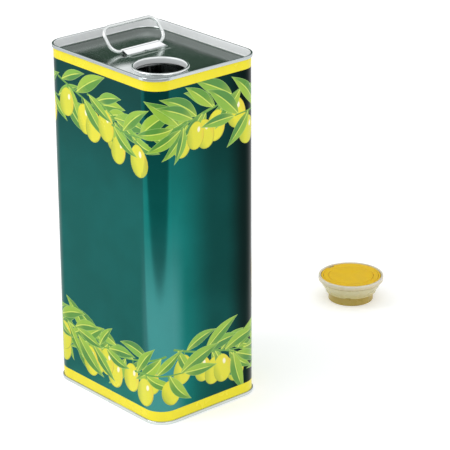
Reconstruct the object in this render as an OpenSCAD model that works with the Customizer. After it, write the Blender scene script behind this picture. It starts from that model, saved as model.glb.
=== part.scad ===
// Rectangular olive oil tin of about three litres, with a wire handle and a pull-out spout closure.
// Millimetres. +Z is up, and the origin is the centre of the tin's foot on the surface it stands on.
// The closure is off the neck and stands on that surface behind the tin.

/* [Tin body] */
// Width of the body along X, outside the wall
body_w = 125; // [104:1:160]
// Depth of the body along Y, outside the wall
body_d = 99; // [90:1:130]
// Height of the tin, from the lower seam to the upper one
body_h = 268; // [180:1:330]
// Outside radius of the upright corners
corner_r = 15; // [13:0.5:20]
// Thickness of the tinplate
sheet_t = 0.3; // [0.22:0.02:0.34]
// Width of the weld that closes the sleeve
weld_w = 1.2; // [0.8:0.1:2]
// Height of the weld above the sheet
weld_h = 0.12; // [0.08:0.01:0.2]

/* [Double seams and ends] */
// Height of each double seam
seam_h = 2.5; // [2.3:0.1:3.4]
// Radius of the seam's two upper edges
seam_edge_r = 0.55; // [0.45:0.05:0.65]
// Space between neighbouring layers of a seam
layer_gap = 0.05; // [0.02:0.01:0.07]
// Height of the sealing compound over the folded body edge
compound_h = 0.15; // [0.1:0.01:0.2]
// Depth of the top panel below the rim
top_depth = 7; // [5.5:0.25:9]
// Depth of the bottom panel above the foot
bottom_depth = 5; // [4.5:0.25:8]
// Radius between an end's wall and its panel
panel_r = 1.3; // [0.8:0.1:1.8]
// Distance of the bottom panel's raised field from the body wall
field_inset = 9; // [6:0.5:10]
// Height of that field
field_h = 1.2; // [0.6:0.1:2]

/* [Neck] */
// Radius of the hole in the neck
neck_r = 18.6; // [16:0.1:19.5]
// Height of the neck above the top panel
neck_h = 6.4; // [5.2:0.2:7]
// Outside radius of the rolled edge's section
curl_r = 1.15; // [1:0.05:1.5]
// Radius where the neck leaves the panel
root_r = 1.8; // [1:0.1:2.2]
// Distance of the neck's axis from the body's +X face
neck_from_side = 27; // [25.5:0.5:34]
// Distance of the neck's axis from the body's -Y face
neck_from_front = 28.5; // [26:0.5:34]

/* [Handle] */
// Diameter of the bail's wire
wire_d = 2.5; // [2:0.1:3]
// Distance of each leg's middle beyond the end of the clip's roll
bail_side = 8.3; // [8.2:0.1:9]
// Height of the bail between the middles of its bars
bail_h = 20.8; // [17:0.2:21]
// Bend radius at the foot of each leg
bail_low_r = 8; // [5:0.5:8]
// Bend radius at the top of each leg
bail_top_r = 7.5; // [4:0.5:8]
// Lean of the bail away from the neck, in degrees from upright
bail_lean = 40; // [0:1:60]
// Space between the wire's two ends inside the clip
wire_end_gap = 0.5; // [0.2:0.1:1]
// Place of the bail's axis along X
handle_x = -19.5; // [-22:0.5:-17]
// Place of the handle's middle along Y
handle_y = 5; // [1:0.5:6]
// Length of the clip's roll along the wire
clip_len = 34; // [28:0.5:35]
// Thickness of the clip's sheet
clip_t = 0.35; // [0.3:0.05:0.5]
// Space between the wire and the clip all round
clip_clear = 0.05; // [0.03:0.01:0.1]
// Reach of the clip's welded foot in front of the wire
foot_reach = 12.7; // [11:0.1:14]
// Reach of the clip's upper leaf in front of the wire
leaf_reach = 8.6; // [7:0.1:9.5]
// Width of the leaf's flat edge on the foot
leaf_land = 1.2; // [0.8:0.1:2]
// Length by which the clip's front runs on past the roll at its +Y end
clip_ear = 2.4; // [0:0.1:3]
// Radius of the notch in the leaf's edge
clip_notch_r = 2.2; // [1:0.1:2.5]

/* [Closure body] */
// Place of the closure along X
stand_x = -18; // [-30:1:30]
// Place of the closure along Y
stand_y = 223; // [150:1:240]
// Height of the closure
closure_h = 20.8; // [20:0.1:24]
// Outside radius of the lip
lip_r = 27; // [26.5:0.1:30]
// Height of the lip
lip_h = 3.4; // [3:0.1:4.2]
// Width of the lip's rim round the cap
lip_rim = 1.9; // [1.4:0.1:2.2]
// Step in under the lip
lip_step = 1; // [0.6:0.1:1.2]
// Height of the plug that goes into the neck
plug_h = 7.3; // [7:0.1:8]
// Space between the plug and the neck's wall
plug_clear = 0.15; // [0.05:0.01:0.25]
// Height of the ridge that snaps in under the neck
snap_h = 0.2; // [0.1:0.02:0.24]
// Step from the plug out to the shoulder that sits on the neck
shoulder_step = 2.5; // [2:0.1:3]
// Height of the upright band above the shoulder
shoulder_h = 1.5; // [1:0.1:2.2]
// Thickness of the closure body's wall
closure_t = 1.3; // [1:0.05:1.4]
// Width of the drain notch in the shoulder
notch_w = 4.4; // [2:0.1:6]
// Direction of the drain notch, in degrees from +X
notch_turn = -50; // [-180:5:180]
// Width of the step left between the plug and the drain notch
notch_step = 0.5; // [0.3:0.05:0.8]

/* [Folding wall and spout] */
// Thickness of the folding wall
fold_t = 0.7; // [0.5:0.05:0.8]
// Space between the folding wall and what is on either side of it
fold_clear = 0.4; // [0.3:0.05:0.5]
// Thickness of the shelf that the folding wall hangs from
shelf_t = 1.2; // [1:0.1:1.5]
// Height of the spout's base above the closure's foot
base_z = 0.6; // [0.4:0.1:1]
// Thickness of the spout's base
base_t = 0.9; // [0.7:0.05:1.2]
// Thickness of the spout's wall
spout_t = 1.2; // [1:0.05:1.4]
// Height of the screw threads' ridge
thread_h = 0.8; // [0.6:0.05:0.9]
// Rise of the threads in one turn
thread_pitch = 3.2; // [2.8:0.1:3.6]
// Number of turns of each thread
thread_turns = 1.25; // [1:0.25:1.5]
// Width of the ledge that carries the tear-off seal
ledge_w = 0.8; // [0.5:0.1:1]
// Depth of that ledge below the spout's mouth
ledge_depth = 4.3; // [4:0.1:5]
// Thickness of the tear-off seal
seal_t = 0.6; // [0.4:0.05:0.8]
// Thickness of the wire-like ring on the tear-off seal
seal_ring_d = 1.8; // [1.4:0.1:2]

/* [Screw cap] */
// Depth of the cap's face below the lip
cap_sink = 0.4; // [0.2:0.1:0.6]
// Thickness of the cap's face
cap_face_t = 2.6; // [2.4:0.1:2.8]
// Space between the cap and the lip
cap_clear = 0.4; // [0.3:0.05:0.6]
// Space between the cap's face and the shelf below it
cap_float = 0.3; // [0.2:0.05:0.4]
// Thickness of the cap's threaded skirt
cap_t = 1.2; // [1:0.05:1.3]
// Space between the cap's thread and the spout's wall
thread_clear = 0.3; // [0.2:0.05:0.35]
// Length of the cap's threaded skirt
cap_skirt = 12; // [9:0.5:12.5]
// Thickness of the sealing liner
liner_t = 0.9; // [0.7:0.05:1]
// Space between the liner and the spout's mouth
liner_gap = 0.1; // [0.05:0.01:0.15]
// Width of the pull ring
ring_w = 3.9; // [3:0.1:4.2]
// Thickness of the pull ring
ring_t = 1.6; // [1.4:0.05:1.7]
// Space round the pull ring
ring_clear = 0.3; // [0.2:0.05:0.4]
// Width of the cap's rim outside the pull ring
cap_rim = 1.8; // [1.4:0.1:2.2]
// Width of the pull ring's tab
tab_w = 8; // [5:0.5:10]
// Width of the pull ring's two hinge straps
strap_w = 3; // [2:0.25:4]
// Width of the notch between the straps
rim_notch_w = 5.2; // [4:0.1:6]
// Space between each strap and the cap's rim
strap_gap = 0.05; // [0.02:0.01:0.08]
// Thickness of the straps
strap_t = 0.35; // [0.25:0.05:0.5]

/* [Hidden] */
$fn = 96;
eps = 0.01;

// Layers of the double seam: the distance of each layer's middle from the body's outside face
u_wall = -sheet_t / 2;
u_cover_hook = layer_gap + sheet_t / 2;
u_body_hook = 2 * layer_gap + 1.5 * sheet_t;
u_seam_wall = 3 * layer_gap + 2.5 * sheet_t;
u_chuck = -layer_gap - 1.5 * sheet_t;
hook_r = layer_gap + sheet_t;
fold_drop = sheet_t + compound_h + sheet_t / 2 + hook_r + eps;
hook_air = 0.1;
seam_edge_mid_r = seam_edge_r - sheet_t / 2;
compound_in = u_chuck + seam_edge_mid_r + layer_gap;
compound_out = u_seam_wall - seam_edge_mid_r - layer_gap;
panel_mid_r = panel_r + sheet_t / 2;
seam_arc_steps = 5;

// Ends
panel_lip = 8;
panel_overlap = 0.5;
plate_inset = panel_lip - panel_overlap;
top_panel_z = body_h - top_depth;
field_slope = 1.2;

// Neck
neck_x = body_w / 2 - neck_from_side;
neck_y = -body_d / 2 + neck_from_front;
neck_z = top_panel_z + neck_h;
neck_mid_r = neck_r + sheet_t / 2;
curl_mid_r = curl_r - sheet_t / 2;
root_mid_r = root_r + sheet_t / 2;
neck_foot_flat = 1.4;
neck_foot_r = neck_mid_r + root_mid_r + neck_foot_flat;
curl_end = -140;

// Handle
wire_r = wire_d / 2;
wire_up = clip_t + clip_clear + wire_r;
wire_z = top_panel_z + wire_up;
roll_r = wire_r + clip_clear + clip_t / 2;
roll_out_r = roll_r + clip_t / 2;
bail_w = clip_len + 2 * bail_side;
leaf_foot_z = 1.5 * clip_t + eps;
leaf_far = [leaf_reach - leaf_land, wire_up - leaf_foot_z];
leaf_slope = atan2(leaf_far[1], leaf_far[0]) + asin(roll_r / norm(leaf_far));
foot_corner_r = 1.2;

// Closure body
plug_r = neck_r - plug_clear;
shoulder_r = plug_r + shoulder_step;
plug_in_r = plug_r - closure_t;
cup_r = lip_r - lip_rim;
lip_z = closure_h - lip_h;
under_lip_r = lip_r - lip_step;
band_z = plug_h + shoulder_h;
cap_top = closure_h - cap_sink;
cap_under = cap_top - cap_face_t;
shelf_top = cap_under - cap_float;
shelf_z = shelf_top - shelf_t;
shelf_w = 1.7;
cone_wall = 1.1 * closure_t;
shelf_wall_r = cone_r(shelf_z) - cone_wall;
shelf_in_r = shelf_wall_r - shelf_w;
plug_chamfer = 0.5;
snap_z = 0.65;
snap_half = 0.45;
notch_h = 0.7;

// Folding wall and spout
fold_out_r = plug_in_r - fold_clear;
fold_mid_r = fold_out_r - fold_t / 2;
fold_in_r = fold_out_r - fold_t;
spout_base_top = base_z + base_t;
spout_travel = 2 * (shelf_z - spout_base_top);
cap_skirt_r = fold_in_r - fold_clear;
cap_bore_r = cap_skirt_r - cap_t;
spout_r = cap_bore_r - thread_clear - thread_h;
spout_in_r = spout_r - spout_t;
liner_z = cap_under - liner_t;
spout_top = liner_z - liner_gap;
ledge_z = spout_top - ledge_depth;
mouth_round = 0.4;
seal_clear = 0.1;
seal_ring_inset = 3;
seal_ring_rise = 1.6;
fold_steps = 8;
fold_flare_from = 0.42;
fold_flare_to = 0.98;

// Cap and pull ring
cap_r = cup_r - cap_clear;
groove_out_r = cap_r - cap_rim;
groove_in_r = groove_out_r - ring_w - 2 * ring_clear;
groove_depth = ring_t + ring_clear;
ring_out_r = groove_out_r - ring_clear;
ring_in_r = ring_out_r - ring_w;
hinge_x = -groove_out_r + strap_gap;
strap_y = (rim_notch_w + strap_w) / 2;
cap_edge_r = 0.5;
liner_r = cap_bore_r - 0.2;
tab_cut_x = sqrt(pow(groove_out_r, 2) - pow(tab_w / 2 + ring_clear, 2)) - eps;
thread_foot_w = 1.4;
thread_crest_w = 0.7;
thread_root = 0.15;
thread_step = 15;
thread_lead = 1.2;
cap_thread_z = cap_under - cap_skirt + thread_lead;
spout_thread_z = cap_thread_z + thread_pitch / 2;

// Outside radius of the closure's cone at height z
function cone_r(z) = shoulder_r + (under_lip_r - shoulder_r) * (z - band_z) / (lip_z - band_z);

// Paths and sections

function unit(v) = v / norm(v);
function left_of(v) = [-v[1], v[0]];
function side(p, i) = left_of(unit(p[i + 1] - p[i]));
function mean_side(a, b) = 2 * (a + b) / ((a + b) * (a + b));

// Direction in which a strip widens at point i of its middle line p
function widen(p, i) =
    i == 0 ? side(p, 0)
    : i == len(p) - 1 ? side(p, i - 1)
    : mean_side(side(p, i - 1), side(p, i));

// Outline of a strip of thickness t along the middle line p
function strip(p, t) = concat(
    [for (i = [0:len(p) - 1]) p[i] + widen(p, i) * t / 2],
    [for (i = [len(p) - 1:-1:0]) p[i] - widen(p, i) * t / 2]
);

function arc(c, r, from, to, steps) = [
    for (i = [0:steps])
        let (a = from + (to - from) * i / steps)
            c + r * [cos(a), sin(a)]
];

function mirror_z(p) = [for (q = [len(p) - 1:-1:0]) [p[q][0], -p[q][1]]];
function raise(p, z) = [for (q = p) [q[0], q[1] + z]];

// Outline of a rectangle with round corners, centred on the origin
function round_rect(w, d, r) = concat(
    arc([w / 2 - r, d / 2 - r], r, 0, 90, 8),
    arc([-w / 2 + r, d / 2 - r], r, 90, 180, 8),
    arc([-w / 2 + r, -d / 2 + r], r, 180, 270, 8),
    arc([w / 2 - r, -d / 2 + r], r, 270, 360, 8)
);

// Carries a section round the body: the section's X is the distance out from the body's outside face
module round_body() {
    for (turn = [0, 180]) {
        rotate([0, 0, turn]) {
            side_run(body_w, body_d)
                children();
            rotate([0, 0, 90])
                side_run(body_d, body_w)
                    children();
        }
    }
}

// One flat side and the corner that follows it
module side_run(w, d) {
    run = d - 2 * corner_r;
    translate([w / 2, run / 2, 0])
        rotate([90, 0, 0])
            linear_extrude(run)
                children();
    translate([w / 2 - corner_r, run / 2, 0])
        rotate_extrude(angle = 90)
            translate([corner_r, 0])
                children();
}

// Middle line of the body's edge where it folds over into the seam, measured from the seam's top
function body_hook_line() = concat(
    arc([u_cover_hook, -fold_drop], hook_r, 180, 0, 2 * seam_arc_steps),
    [[u_body_hook, -seam_h + hook_r + sheet_t / 2 + hook_air]]
);

// Middle line of an end, from the tip of its hook, over the seam and down its wall to the panel
function end_line(depth) = concat(
    [[u_cover_hook, -fold_drop - hook_air]],
    arc([u_body_hook, -seam_h + hook_r + sheet_t / 2], hook_r, 180, 360, 2 * seam_arc_steps),
    arc([u_seam_wall - seam_edge_mid_r, -seam_edge_r], seam_edge_mid_r, 0, 90, seam_arc_steps),
    arc([u_chuck + seam_edge_mid_r, -seam_edge_r], seam_edge_mid_r, 90, 180, seam_arc_steps),
    arc(
        [u_chuck - panel_mid_r, -depth - sheet_t / 2 + panel_mid_r],
        panel_mid_r, 0, -90, seam_arc_steps
    ),
    [[-panel_lip, -depth - sheet_t / 2]]
);

function field_line() = [
    [-panel_lip + panel_overlap, -bottom_depth - sheet_t / 2],
    [-field_inset, -bottom_depth - sheet_t / 2],
    [-field_inset - field_slope, -bottom_depth - field_h - sheet_t / 2],
    [-field_inset - field_slope - panel_overlap, -bottom_depth - field_h - sheet_t / 2]
];

module seam_compound_section() {
    translate([compound_in, -sheet_t - compound_h])
        square([compound_out - compound_in, compound_h]);
}

// Ridge of a screw thread that winds up from z, between two radii
module thread(inner_r, outer_r, inner_w, outer_w, z) {
    steps = round(thread_turns * 360 / thread_step);
    section = [
        [inner_r, -inner_w / 2], [outer_r, -outer_w / 2],
        [outer_r, outer_w / 2], [inner_r, inner_w / 2]
    ];
    points = [
        for (i = [0:steps], q = section)
            let (a = i * thread_step)
                [q[0] * cos(a), q[0] * sin(a), z + q[1] + thread_pitch * a / 360]
    ];
    sides = [
        for (i = [0:steps - 1], k = [0:3], half = [0, 1])
            let (
                a = 4 * i + k,
                b = 4 * i + (k + 1) % 4,
                c = a + 4,
                d = b + 4
            )
                half == 0 ? [a, b, c] : [b, d, c]
    ];
    last = 4 * steps;
    ends = [[0, 3, 2], [0, 2, 1], [last, last + 1, last + 2], [last, last + 2, last + 3]];
    polyhedron(points, concat(sides, ends));
}

// The tin

module body_sheet() {
    top = raise(body_hook_line(), body_h);
    color("darkslategray") {
        round_body()
            polygon(strip(concat(mirror_z(body_hook_line()), top), sheet_t));
        translate([-body_w / 2 - weld_h, -weld_w / 2, seam_h + 1])
            cube([weld_h + sheet_t / 2, weld_w, body_h - 2 * seam_h - 2]);
    }
}

module neck_section() {
    line = concat(
        [[neck_foot_r, top_panel_z - sheet_t / 2]],
        arc(
            [neck_mid_r + root_mid_r, top_panel_z - sheet_t / 2 + root_mid_r],
            root_mid_r, 270, 180, 6
        ),
        arc([neck_mid_r + curl_mid_r, neck_z - curl_r], curl_mid_r, 180, curl_end, 20)
    );
    polygon(strip(line, sheet_t));
}

module top_end() {
    color("silver") {
        difference() {
            union() {
                translate([0, 0, body_h])
                    round_body()
                        polygon(strip(end_line(top_depth), sheet_t));
                translate([0, 0, top_panel_z - sheet_t])
                    linear_extrude(sheet_t)
                        polygon(round_rect(
                            body_w - 2 * plate_inset, body_d - 2 * plate_inset, corner_r - plate_inset
                        ));
            }
            translate([neck_x, neck_y, top_panel_z - 1])
                cylinder(r = neck_foot_r - panel_overlap, h = 2);
        }
        translate([neck_x, neck_y, 0])
            rotate_extrude()
                neck_section();
    }
}

module bottom_end() {
    inset = field_inset + field_slope;
    color("silver")
        mirror([0, 0, 1]) {
            round_body()
                polygon(strip(end_line(bottom_depth), sheet_t));
            round_body()
                polygon(strip(field_line(), sheet_t));
            translate([0, 0, -bottom_depth - field_h - sheet_t])
                linear_extrude(sheet_t)
                    polygon(round_rect(body_w - 2 * inset, body_d - 2 * inset, corner_r - inset));
        }
}

module top_compound() {
    color("dimgray")
        translate([0, 0, body_h])
            round_body()
                seam_compound_section();
}

module bottom_compound() {
    color("dimgray")
        mirror([0, 0, 1])
            round_body()
                seam_compound_section();
}

// The handle

// Outline of the clip from above, with its +Y end cut slantwise
function clip_plan() = concat(
    [[-roll_out_r - 1, clip_len / 2], [-roll_out_r - 1, -clip_len / 2]],
    arc([foot_reach - foot_corner_r, -clip_len / 2 + foot_corner_r], foot_corner_r, -90, 0, 4),
    arc([foot_reach - foot_corner_r, clip_len / 2 + clip_ear - foot_corner_r], foot_corner_r, 0, 90, 4),
    [[leaf_reach, clip_len / 2 + clip_ear], [roll_out_r, clip_len / 2]]
);

module handle_clip() {
    line = concat(
        [[foot_reach, clip_t / 2]],
        arc([0, wire_up], roll_r, -90, -270 - leaf_slope, 18),
        [[leaf_far[0], leaf_foot_z], [leaf_reach, leaf_foot_z]]
    );
    color("gainsboro")
        translate([handle_x, handle_y, top_panel_z])
            difference() {
                intersection() {
                    translate([0, clip_len, 0])
                        rotate([90, 0, 0])
                            linear_extrude(2 * clip_len)
                                polygon(strip(line, clip_t));
                    linear_extrude(4 * wire_up)
                        polygon(clip_plan());
                }
                translate([leaf_reach, 0, clip_t + eps / 2])
                    cylinder(r = clip_notch_r, h = 2 * wire_up);
            }
}

module wire_bend(x, y, r, from) {
    translate([x, y, 0])
        rotate_extrude(angle = 90, start = from)
            translate([r, 0])
                circle(wire_r, $fn = 32);
}

module wire_bar(from, to) {
    way = to - from;
    translate([from[0], from[1], 0])
        rotate([0, 0, atan2(way[1], way[0])])
            rotate([0, 90, 0])
                cylinder(r = wire_r, h = norm(way), $fn = 32);
}

// The bail as it lies in its own plane: X across it, Y up
module bail_flat() {
    for (s = [-1, 1]) {
        foot = s * (bail_w / 2 - bail_low_r);
        head = s * (bail_w / 2 - bail_top_r);
        wire_bar([s * wire_end_gap / 2, 0], [foot, 0]);
        wire_bend(foot, bail_low_r, bail_low_r, s > 0 ? -90 : 180);
        wire_bar([s * bail_w / 2, bail_low_r], [s * bail_w / 2, bail_h - bail_top_r]);
        wire_bend(head, bail_h - bail_top_r, bail_top_r, s > 0 ? 0 : 90);
    }
    wire_bar([bail_top_r - bail_w / 2, bail_h], [bail_w / 2 - bail_top_r, bail_h]);
}

module handle_bail() {
    color("white")
        translate([handle_x, handle_y, wire_z])
            rotate([0, -bail_lean, 0])
                rotate([90, 0, 90])
                    bail_flat();
}

// The closure

module at_closure() {
    translate([stand_x, stand_y, 0])
        children();
}

module closure_body() {
    outside = [
        [plug_r - plug_chamfer, 0], [plug_r, plug_chamfer / 2], [plug_r, snap_z - snap_half / 2],
        [plug_r + snap_h, snap_z], [plug_r, snap_z + snap_half],
        [plug_r, plug_h], [shoulder_r, plug_h], [shoulder_r, band_z],
        [under_lip_r, lip_z], [lip_r, lip_z], [lip_r, closure_h - cap_edge_r],
        [lip_r - cap_edge_r, closure_h], [cup_r, closure_h]
    ];
    inside = [
        [cup_r, shelf_top], [shelf_in_r, shelf_top], [shelf_in_r, shelf_z],
        [shelf_wall_r, shelf_z], [shoulder_r - closure_t, band_z],
        [plug_in_r, plug_h + closure_t / 2], [plug_in_r, 0]
    ];
    color("wheat")
        at_closure()
            difference() {
                rotate_extrude()
                    polygon(concat(outside, inside));
                difference() {
                    rotate([0, 0, notch_turn])
                        translate([plug_r / 2, -notch_w / 2, plug_h - 1])
                            cube([plug_r, notch_w, notch_h + 1]);
                    cylinder(r = plug_r + notch_step, h = plug_h + 1);
                }
            }
}

module folding_wall() {
    rise = shelf_z - spout_base_top;
    rim_r = shelf_in_r + fold_t;
    flare = rim_r - fold_mid_r;
    line = concat(
        [[fold_mid_r, spout_base_top]],
        [
            for (i = [0:fold_steps])
                let (t = i / fold_steps)
                    [
                        fold_mid_r + flare * t * t * (3 - 2 * t),
                        spout_base_top + rise * (fold_flare_from + (fold_flare_to - fold_flare_from) * t)
                    ]
        ],
        [[rim_r, shelf_z]]
    );
    color("khaki")
        at_closure()
            rotate_extrude()
                polygon(strip(line, fold_t));
}

module spout_tube() {
    section = [
        [spout_in_r - ledge_w, base_z], [fold_out_r, base_z], [fold_out_r, spout_base_top],
        [spout_r, spout_base_top], [spout_r, spout_top - mouth_round],
        [spout_r - mouth_round, spout_top], [spout_in_r, spout_top],
        [spout_in_r, ledge_z], [spout_in_r - ledge_w, ledge_z]
    ];
    color("khaki")
        at_closure() {
            rotate_extrude()
                polygon(section);
            thread(
                spout_r - thread_root, spout_r + thread_h, thread_foot_w, thread_crest_w,
                spout_thread_z
            );
        }
}

module tear_seal() {
    ring_mid_r = spout_in_r - seal_ring_inset;
    ring_z = ledge_z + seal_t + seal_ring_rise;
    color("ivory")
        at_closure() {
            translate([0, 0, ledge_z])
                cylinder(r = spout_in_r - seal_clear, h = seal_t);
            translate([ring_mid_r, 0, ledge_z + seal_t / 2])
                cylinder(d = seal_ring_d, h = ring_z - ledge_z - seal_t / 2);
            translate([0, 0, ring_z])
                rotate_extrude()
                    translate([ring_mid_r, 0])
                        circle(d = seal_ring_d, $fn = 24);
        }
}

module cap_liner() {
    color("white")
        at_closure()
            translate([0, 0, liner_z])
                cylinder(r = liner_r, h = liner_t);
}

module screw_cap() {
    groove_z = cap_top - groove_depth;
    section = [
        [0, cap_under], [cap_bore_r, cap_under], [cap_bore_r, cap_under - cap_skirt],
        [cap_skirt_r, cap_under - cap_skirt], [cap_skirt_r, cap_under],
        [cap_r - cap_edge_r, cap_under], [cap_r, cap_under + cap_edge_r],
        [cap_r, cap_top - cap_edge_r / 2], [cap_r - cap_edge_r / 2, cap_top],
        [groove_out_r, cap_top], [groove_out_r, groove_z], [groove_in_r, groove_z],
        [groove_in_r, cap_top], [0, cap_top]
    ];
    color("gold")
        at_closure() {
            difference() {
                rotate_extrude()
                    polygon(section);
                translate([tab_cut_x, -tab_w / 2 - ring_clear, cap_top - groove_depth])
                    cube([cap_r, tab_w + 2 * ring_clear, cap_face_t]);
                translate([groove_out_r, -tab_w / 2 - ring_clear, cap_under - 1])
                    cube([cap_r, tab_w + 2 * ring_clear, cap_face_t + 2]);
                translate([-cap_r - 1, -rim_notch_w / 2, cap_under - 1])
                    cube([cap_rim + 1 - strap_gap, rim_notch_w, cap_face_t + 2]);
            }
            thread(
                spout_r + thread_clear, cap_bore_r + thread_root, thread_crest_w, thread_foot_w,
                cap_thread_z
            );
        }
}

module pull_ring() {
    color("gold")
        at_closure()
            translate([0, 0, cap_top - ring_t]) {
                difference() {
                    cylinder(r = ring_out_r, h = ring_t);
                    translate([0, 0, -1])
                        cylinder(r = ring_in_r, h = ring_t + 2);
                }
                intersection() {
                    translate([ring_in_r + 1, -tab_w / 2, 0])
                        cube([ring_w + cap_rim, tab_w, ring_t]);
                    cylinder(r = cap_r - ring_clear, h = ring_t);
                }
                intersection() {
                    for (s = [-1, 1])
                        translate([hinge_x, s * strap_y - strap_w / 2, ring_t - strap_t])
                            cube([ring_w, strap_w, strap_t]);
                    cylinder(r = -hinge_x, h = ring_t);
                }
            }
}

body_sheet();
top_end();
bottom_end();
top_compound();
bottom_compound();
handle_clip();
handle_bail();
closure_body();
folding_wall();
spout_tube();
tear_seal();
cap_liner();
screw_cap();
pull_ring();
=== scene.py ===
"""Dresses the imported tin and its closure: print, finishes, rounded mouldings, floor, lights and camera."""

import math
import random

import bpy
import numpy as np
from mathutils import Matrix, Vector
from mathutils.geometry import delaunay_2d_cdt

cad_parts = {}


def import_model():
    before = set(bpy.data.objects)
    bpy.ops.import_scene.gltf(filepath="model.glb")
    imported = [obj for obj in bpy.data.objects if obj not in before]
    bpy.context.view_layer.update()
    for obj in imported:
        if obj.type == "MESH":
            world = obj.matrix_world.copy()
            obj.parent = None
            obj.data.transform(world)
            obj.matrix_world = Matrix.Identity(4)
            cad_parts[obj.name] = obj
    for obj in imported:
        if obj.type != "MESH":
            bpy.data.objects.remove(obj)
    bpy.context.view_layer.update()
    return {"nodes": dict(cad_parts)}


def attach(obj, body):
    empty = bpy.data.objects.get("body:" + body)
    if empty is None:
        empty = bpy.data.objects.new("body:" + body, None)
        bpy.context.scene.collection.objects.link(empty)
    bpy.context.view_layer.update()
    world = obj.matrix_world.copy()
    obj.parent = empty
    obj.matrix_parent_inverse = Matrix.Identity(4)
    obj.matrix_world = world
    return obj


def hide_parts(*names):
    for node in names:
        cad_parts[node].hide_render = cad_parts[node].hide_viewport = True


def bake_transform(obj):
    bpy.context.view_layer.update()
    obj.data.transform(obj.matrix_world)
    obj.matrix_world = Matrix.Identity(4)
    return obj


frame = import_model()
MM = 0.001

# ---- The sizes that part.scad gives, in millimetres ----
BODY_W, BODY_D, BODY_H, CORNER_R = 125.0, 99.0, 268.0, 15.0
SEAM_H = 2.5
HANDLE_X, HANDLE_Y, PANEL_Z = -19.5, 5.0, 261.0
CLIP_HALF = 17.0
NECK = (35.5, -21.0)
NECK_R = 18.6
CLOSURE = Vector((-18.0, 223.0, 0.0))
PLUG_R, PLUG_IN_R, PLUG_H = 18.45, 17.15, 7.3
SHOULDER_R, SHOULDER_Z = 20.95, 8.8
CUP_R, UNDER_LIP_R, LIP_Z, CLOSURE_H = 25.1, 26, 17.4, 20.8
SHELF_Z, SHELF_TOP = 16.3, 17.5
WALL_R, WALL_HALF_T, WALL_FOOT_Z = 16.4, 0.35, 1.5
THREAD_PITCH, THREAD_TURNS = 3.2, 1.25
CAP_R, CAP_TOP, CAP_UNDER = 24.7, 20.4, 17.8
CAP_BORE_R, CAP_SKIRT_R, CAP_SKIRT_Z = 14.45, 15.65, 5.8
GROOVE_IN_R, GROOVE_OUT_R, GROOVE_Z = 18.4, 22.9, 18.5
RING_IN_R, RING_OUT_R, RING_Z = 18.7, 22.6, 18.8
TAB_HALF, TAB_CLEAR, RIM_NOTCH_HALF = 4.0, 0.3, 2.6

# ---- The print's layout: s runs round the sleeve, z up it ----
ARC = CORNER_R * math.pi / 2
RUN_D, RUN_W = BODY_D - 2 * CORNER_R, BODY_W - 2 * CORNER_R
ROUND = 2 * (RUN_D + RUN_W) + 4 * ARC
STARTS = np.cumsum([0, RUN_D / 2, ARC, RUN_W, ARC, RUN_D, ARC, RUN_W, ARC, RUN_D / 2])
INK_OUT = 0.03
BARE = 3.2
BAND_TOP, BAND_FOOT = 258.3, 10.5
PRINT_LOW, PRINT_HIGH = SEAM_H + 0.1, BODY_H - SEAM_H - 0.1
UPPER_Z, LOWER_Z = 229, 41
UPPER_SEED, LOWER_SEED = 11, 29
LEAF_LENGTH, LEAF_HALF, TIP_HALF = 32, 5.0, 4.5
OLIVE_HALF_W, OLIVE_HALF_H = 8.4, 11.4


# ---- Small helpers ----
def link_mesh(name, points, faces):
    """A new smooth mesh object from points in millimetres."""
    mesh = bpy.data.meshes.new(name)
    mesh.from_pydata([tuple(c * MM for c in p) for p in points], [], [tuple(f) for f in faces])
    mesh.update()
    mesh.polygons.foreach_set("use_smooth", [True] * len(mesh.polygons))
    obj = bpy.data.objects.new(name, mesh)
    bpy.context.scene.collection.objects.link(obj)
    return obj


def rgb(r, g, b):
    """A screen colour from 0 to 255 as Blender's linear colour."""
    lin = [c / 255 / 12.92 if c <= 10 else ((c / 255 + 0.055) / 1.055) ** 2.4 for c in (r, g, b)]
    return (*lin, 1.0)


def smooth_box(x, half, edge):
    """1 within half of 0, falling smoothly to 0 over edge."""
    t = min(1.0, max(0.0, (half + edge / 2 - abs(x)) / edge))
    return t * t * (3 - 2 * t)


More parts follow.
